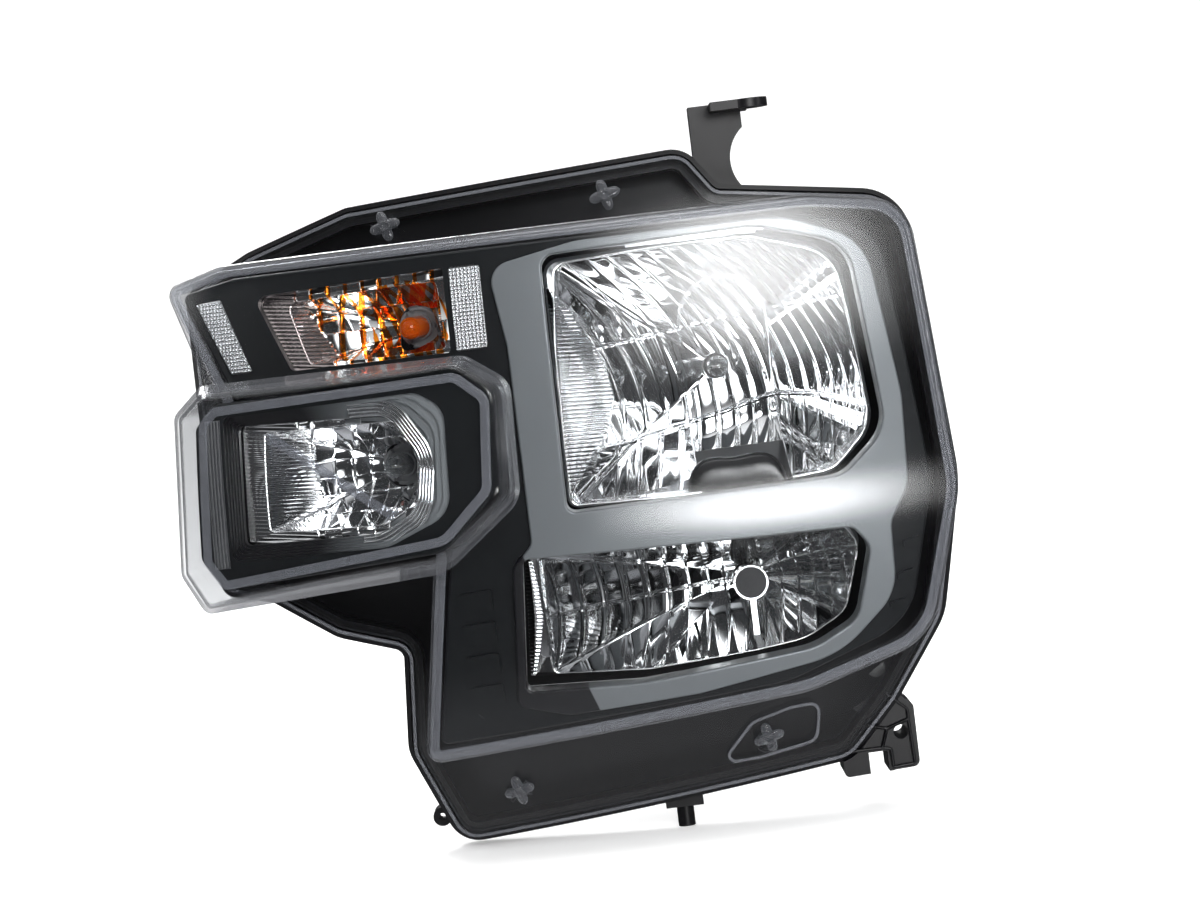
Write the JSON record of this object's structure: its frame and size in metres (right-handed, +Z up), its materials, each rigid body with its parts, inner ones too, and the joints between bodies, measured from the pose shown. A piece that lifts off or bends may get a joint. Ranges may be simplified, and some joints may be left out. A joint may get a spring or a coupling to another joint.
{
  "type": "car headlight assembly",
  "caption": "Wrap-round pickup truck headlight: clear lens with a corner bulge, stacked reflectors, turn signal and marker cells, black housing, aim adjuster and brackets.",
  "frame": {"origin": "centre of the upper bracket's bolt hole", "axes": "+X inboard (to the right seen from the front), +Y rearward, +Z up along the upper bolt"},
  "size_m": [0.4441, 0.2203, 0.4135],
  "materials": {
    "black_housing": "moulded",
    "clear_lens": "polished",
    "sealant": "matt",
    "satin_black": "satin",
    "satin_grey": "satin metallic paint",
    "gloss_black": "gloss",
    "chrome": "vacuum metallised",
    "reflex_silver": "dotted",
    "steel": "zinc plated",
    "rubber": "matt",
    "carrier_plastic": "moulded",
    "acetal": "moulded",
    "bulb_plastic": "moulded",
    "socket_grey": "moulded",
    "clear_glass": "polished",
    "amber_glass": "polished",
    "tungsten": "drawn wire",
    "brass": "tinned"
  },
  "bodies": {
    "housing": {"housing": "black_housing", "lens": "clear_lens", "lens_sealant": "sealant", "black_bezel": "satin_black", "grey_bezel": "satin_grey", "marker_bezel": "satin_black", "marker_ring": "satin_grey", "turn_reflector": "chrome", "marker_reflector": "chrome", "reflex_strip_outer": "reflex_silver", "reflex_strip_inner": "reflex_silver", "bezel_screws": "steel", "upper_bracket": "black_housing", "upper_bracket_screws": "steel", "lower_bracket": "black_housing", "lower_bracket_screws": "steel", "upper_boot": "rubber", "lower_boot": "rubber", "vent_caps": "rubber", "pivot_studs": "acetal", "adjuster_case": "black_housing", "adjuster_case_screws": "steel"},
    "reflectors": {"reflector_carrier": "carrier_plastic", "upper_reflector": "chrome", "lower_reflector": "chrome", "reflector_screws": "steel", "pivot_sockets": "acetal", "adjuster_socket": "acetal", "bulb_shield": "chrome", "reflector_hood": "gloss_black"},
    "adjuster_rod": {"adjuster_rod": "acetal"},
    "adjuster_wheel": {"adjuster_wheel": "acetal"},
    "upper_bulb": {"upper_bulb_base": "bulb_plastic", "upper_bulb_glass": "clear_glass", "upper_bulb_filament": "tungsten", "upper_bulb_seal": "rubber", "upper_bulb_terminals": "brass"},
    "lower_bulb": {"lower_bulb_base": "bulb_plastic", "lower_bulb_glass": "clear_glass", "lower_bulb_filament": "tungsten", "lower_bulb_seal": "rubber", "lower_bulb_terminals": "brass"},
    "turn_bulb": {"turn_socket": "socket_grey", "turn_bulb_glass": "amber_glass", "turn_bulb_filament": "tungsten", "turn_socket_seal": "rubber", "turn_socket_terminals": "brass"},
    "marker_bulb": {"marker_socket": "socket_grey", "marker_bulb_glass": "clear_glass", "marker_bulb_filament": "tungsten", "marker_socket_seal": "rubber", "marker_socket_terminals": "brass"}
  },
  "joints": [
    {"name": "aim_tilt", "type": "hinge", "parent": "housing", "child": "reflectors", "pos_m": [-0.05, 0.033, -0.228], "axis": [1, 0, 0], "range_deg": [-2.5, 2.5]},
    {"name": "adjuster_slide", "type": "slide", "parent": "housing", "child": "adjuster_rod", "axis": [0, -1, 0], "range_m": [-0.006, 0.006]},
    {"name": "adjuster_turn", "type": "hinge", "parent": "housing", "child": "adjuster_wheel", "pos_m": [-0.13, 0.098, -0.093], "axis": [0, 1, 0], "range_deg": [-1420, 1420]},
    {"name": "upper_bulb_twist", "type": "hinge", "parent": "reflectors", "child": "upper_bulb", "pos_m": [-0.034, 0.066, -0.148], "axis": [0, 1, 0], "range_deg": [0, 45]},
    {"name": "lower_bulb_twist", "type": "hinge", "parent": "reflectors", "child": "lower_bulb", "pos_m": [-0.031, 0.066, -0.273], "axis": [0, 1, 0], "range_deg": [0, 45]},
    {"name": "turn_socket_twist", "type": "hinge", "parent": "housing", "child": "turn_bulb", "pos_m": [-0.1963, 0.00746, -0.104], "axis": [0.2571, 0.9664, 0], "range_deg": [0, 45]},
    {"name": "marker_socket_twist", "type": "hinge", "parent": "housing", "child": "marker_bulb", "pos_m": [-0.21215, 0.00236, -0.18], "axis": [0.2571, 0.9664, 0], "range_deg": [0, 45]}
  ],
  "couplings": [
    {"joint": "adjuster_slide", "follows": "aim_tilt", "m_per_rad": 0.135},
    {"joint": "adjuster_turn", "follows": "aim_tilt", "ratio": 565.49}
  ]
}
